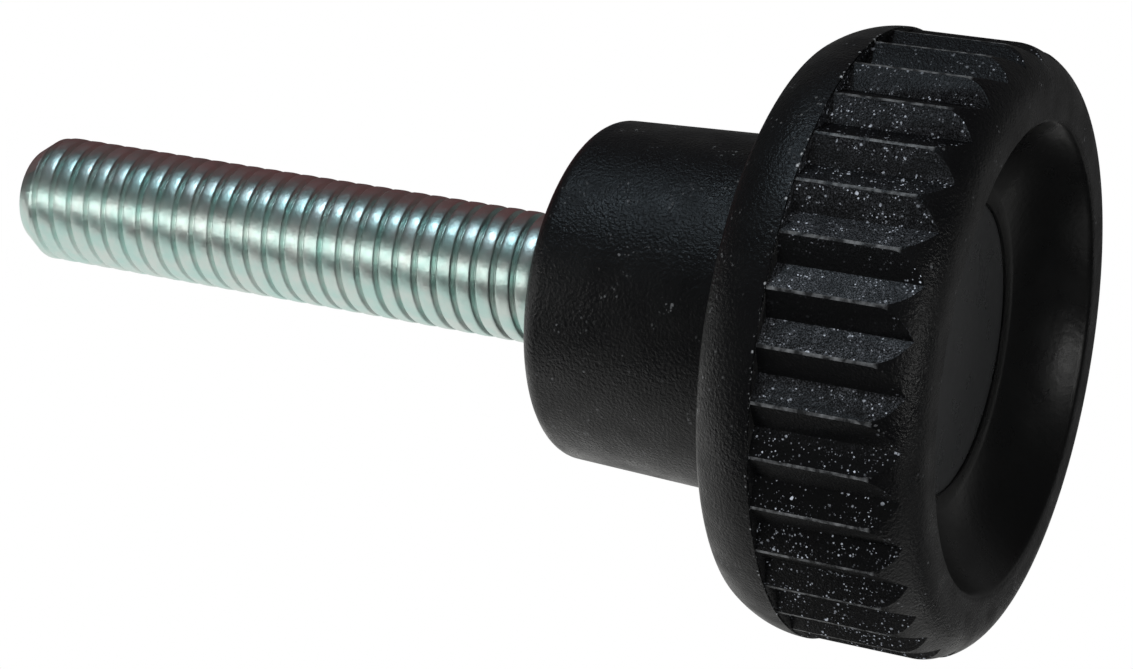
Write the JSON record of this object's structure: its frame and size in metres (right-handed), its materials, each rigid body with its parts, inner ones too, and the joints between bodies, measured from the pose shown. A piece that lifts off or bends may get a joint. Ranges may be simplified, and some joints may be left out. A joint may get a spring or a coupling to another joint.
{
  "type": "knurled thumb screw",
  "caption": "Thumb screw: a round moulded grip knob, grooved round its rim, with a hub, a dished back and a threaded steel stud.",
  "frame": {"origin": "centre of the rim plane that the head stands on, on the screw's axis", "axes": "+Z along the screw's axis, from the head to the tip of the stud; one groove is centred on -Y"},
  "size_m": [0.0266, 0.0266, 0.05],
  "materials": {
    "moulding": "black moulded plastic, satin, with a fine grain in the grooves",
    "plated_steel": "bright zinc plate with a cool tint"
  },
  "bodies": {
    "root": {"knob": "moulding", "threaded_stud": "plated_steel"}
  },
  "joints": []
}
